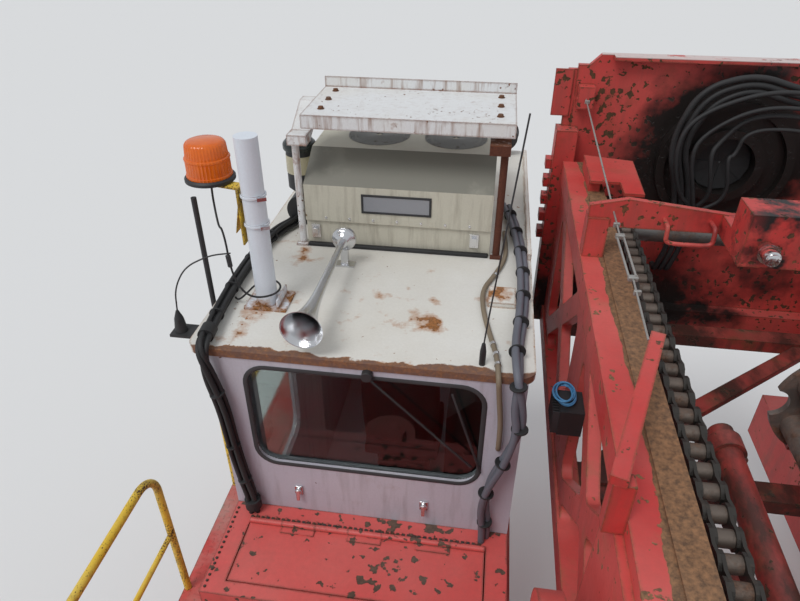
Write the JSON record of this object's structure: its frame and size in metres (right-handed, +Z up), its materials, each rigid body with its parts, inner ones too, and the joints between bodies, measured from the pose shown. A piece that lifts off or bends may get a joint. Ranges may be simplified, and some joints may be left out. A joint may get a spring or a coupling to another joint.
{
  "type": "blasthole drilling rig",
  "caption": "Crawler-mounted blasthole drilling rig with its truss mast lowered over the machine, a walk-in cab, power pack, side decks and levelling jacks.",
  "frame": {"origin": "on the ground, at the middle of the machine's length and width", "axes": "+Y towards the drill end where the cab and mast foot are, +X away from the cab, +Z up"},
  "size_m": [5.8, 11.5, 4.2024],
  "materials": {
    "red_paint": "chipped oxide red paint",
    "grey_paint": "lavender grey cab paint",
    "white_paint": "off-white roof paint",
    "yellow_paint": "chipped yellow paint",
    "bare_steel": "worn bare steel",
    "chrome": "polished rod",
    "cast": "cast iron",
    "glass": "tinted cab glass",
    "black_plastic": "black plastic",
    "rubber": "black rubber hose",
    "amber": "amber lens"
  },
  "bodies": {
    "chassis": {"main_frame": "red_paint", "track_frames": "red_paint", "track_wheels": "cast", "track_right": "bare_steel", "track_left": "bare_steel", "jack_casings": "red_paint", "mast_towers": "red_paint", "decks": "red_paint", "handrails": "yellow_paint", "ladder": "bare_steel", "cab_floor": "grey_paint", "cab_roof": "white_paint", "cab_wall_near": "grey_paint", "cab_wall_far": "grey_paint", "cab_wall_right": "grey_paint", "cab_wall_left": "grey_paint", "cab_glass": "glass", "cab_seat": "black_plastic", "cab_console": "black_plastic", "roof_hoses": "rubber", "antennas": "black_plastic", "lamps": "black_plastic", "roof_aircon": "white_paint", "aircon_guard": "white_paint", "roof_tube": "white_paint", "beacon": "amber", "air_horn": "chrome", "hood_box": "red_paint", "engine": "cast", "compressor": "cast", "radiator": "red_paint", "fuel_tank": "red_paint", "hydraulic_tank": "red_paint", "water_tank": "red_paint", "air_receiver": "red_paint", "dust_collector": "red_paint", "muffler": "bare_steel"},
    "mast": {"mast_side_right": "red_paint", "mast_side_left": "red_paint", "mast_lower_face": "red_paint", "mast_crown": "red_paint", "mast_foot": "red_paint", "feed_chains": "bare_steel", "feed_sprockets": "cast", "mast_brackets": "red_paint", "feed_cylinder": "red_paint", "mast_hoses": "rubber"},
    "rotary_head": {"rotary_head": "red_paint"},
    "carousel": {"carousel": "bare_steel"},
    "winch_drum": {"winch_drum": "bare_steel"},
    "lift_barrels": {"lift_barrels": "red_paint"},
    "lift_rods": {"lift_rods": "chrome"},
    "jack_back_right": {"jack_leg_back_right": "chrome"},
    "jack_back_left": {"jack_leg_back_left": "chrome"},
    "jack_front_right": {"jack_leg_front_right": "chrome"},
    "jack_front_left": {"jack_leg_front_left": "chrome"},
    "fan": {"fan": "black_plastic"},
    "cab_door": {"cab_door": "grey_paint", "cab_door_glass": "glass"},
    "hood_lid": {"hood_lid": "red_paint"}
  },
  "joints": [
    {"name": "mast_raise", "type": "hinge", "parent": "chassis", "child": "mast", "pos_m": [0, 2.5, 2.95], "axis": [-1, 0, 0], "range_deg": [0, 90]},
    {"name": "lift_barrels_turn", "type": "hinge", "parent": "chassis", "child": "lift_barrels", "pos_m": [0, -1.2, 1.55], "axis": [1, 0, 0], "range_deg": [0, 15.4]},
    {"name": "lift_rods_slide", "type": "slide", "parent": "lift_barrels", "child": "lift_rods", "axis": [0, 0.9097, 0.4153], "range_m": [0, 1.8397]},
    {"name": "head_feed", "type": "slide", "parent": "mast", "child": "rotary_head", "axis": [0, 1, 0], "range_m": [0, 7.6]},
    {"name": "carousel_index", "type": "hinge", "parent": "mast", "child": "carousel", "pos_m": [0.36, 0.6, 2.8], "axis": [0, 1, 0], "continuous": true},
    {"name": "winch_turn", "type": "hinge", "parent": "mast", "child": "winch_drum", "pos_m": [0, -5.2, 2.7], "axis": [1, 0, 0], "continuous": true},
    {"name": "jack_back_right_extend", "type": "slide", "parent": "chassis", "child": "jack_back_right", "axis": [0, 0, -1], "range_m": [0, 0.9]},
    {"name": "jack_back_left_extend", "type": "slide", "parent": "chassis", "child": "jack_back_left", "axis": [0, 0, -1], "range_m": [0, 0.9]},
    {"name": "jack_front_right_extend", "type": "slide", "parent": "chassis", "child": "jack_front_right", "axis": [0, 0, -1], "range_m": [0, 0.9]},
    {"name": "jack_front_left_extend", "type": "slide", "parent": "chassis", "child": "jack_front_left", "axis": [0, 0, -1], "range_m": [0, 0.9]},
    {"name": "fan_spin", "type": "hinge", "parent": "chassis", "child": "fan", "pos_m": [0, -5.13, 1.7], "axis": [0, 1, 0], "continuous": true},
    {"name": "cab_door_swing", "type": "hinge", "parent": "chassis", "child": "cab_door", "pos_m": [-2.36, 4.21, 2.335], "axis": [0, 0, -1], "range_deg": [0, 90]},
    {"name": "hood_lid_lift", "type": "hinge", "parent": "chassis", "child": "hood_lid", "pos_m": [-1.733, 3.203, 2.447], "axis": [-1, 0, 0], "range_deg": [0, 80]}
  ],
  "couplings": [
    {"joint": "lift_barrels_turn", "follows": "mast_raise", "ratio": 0.17058},
    {"joint": "lift_rods_slide", "follows": "mast_raise", "m_per_rad": 1.1699}
  ]
}
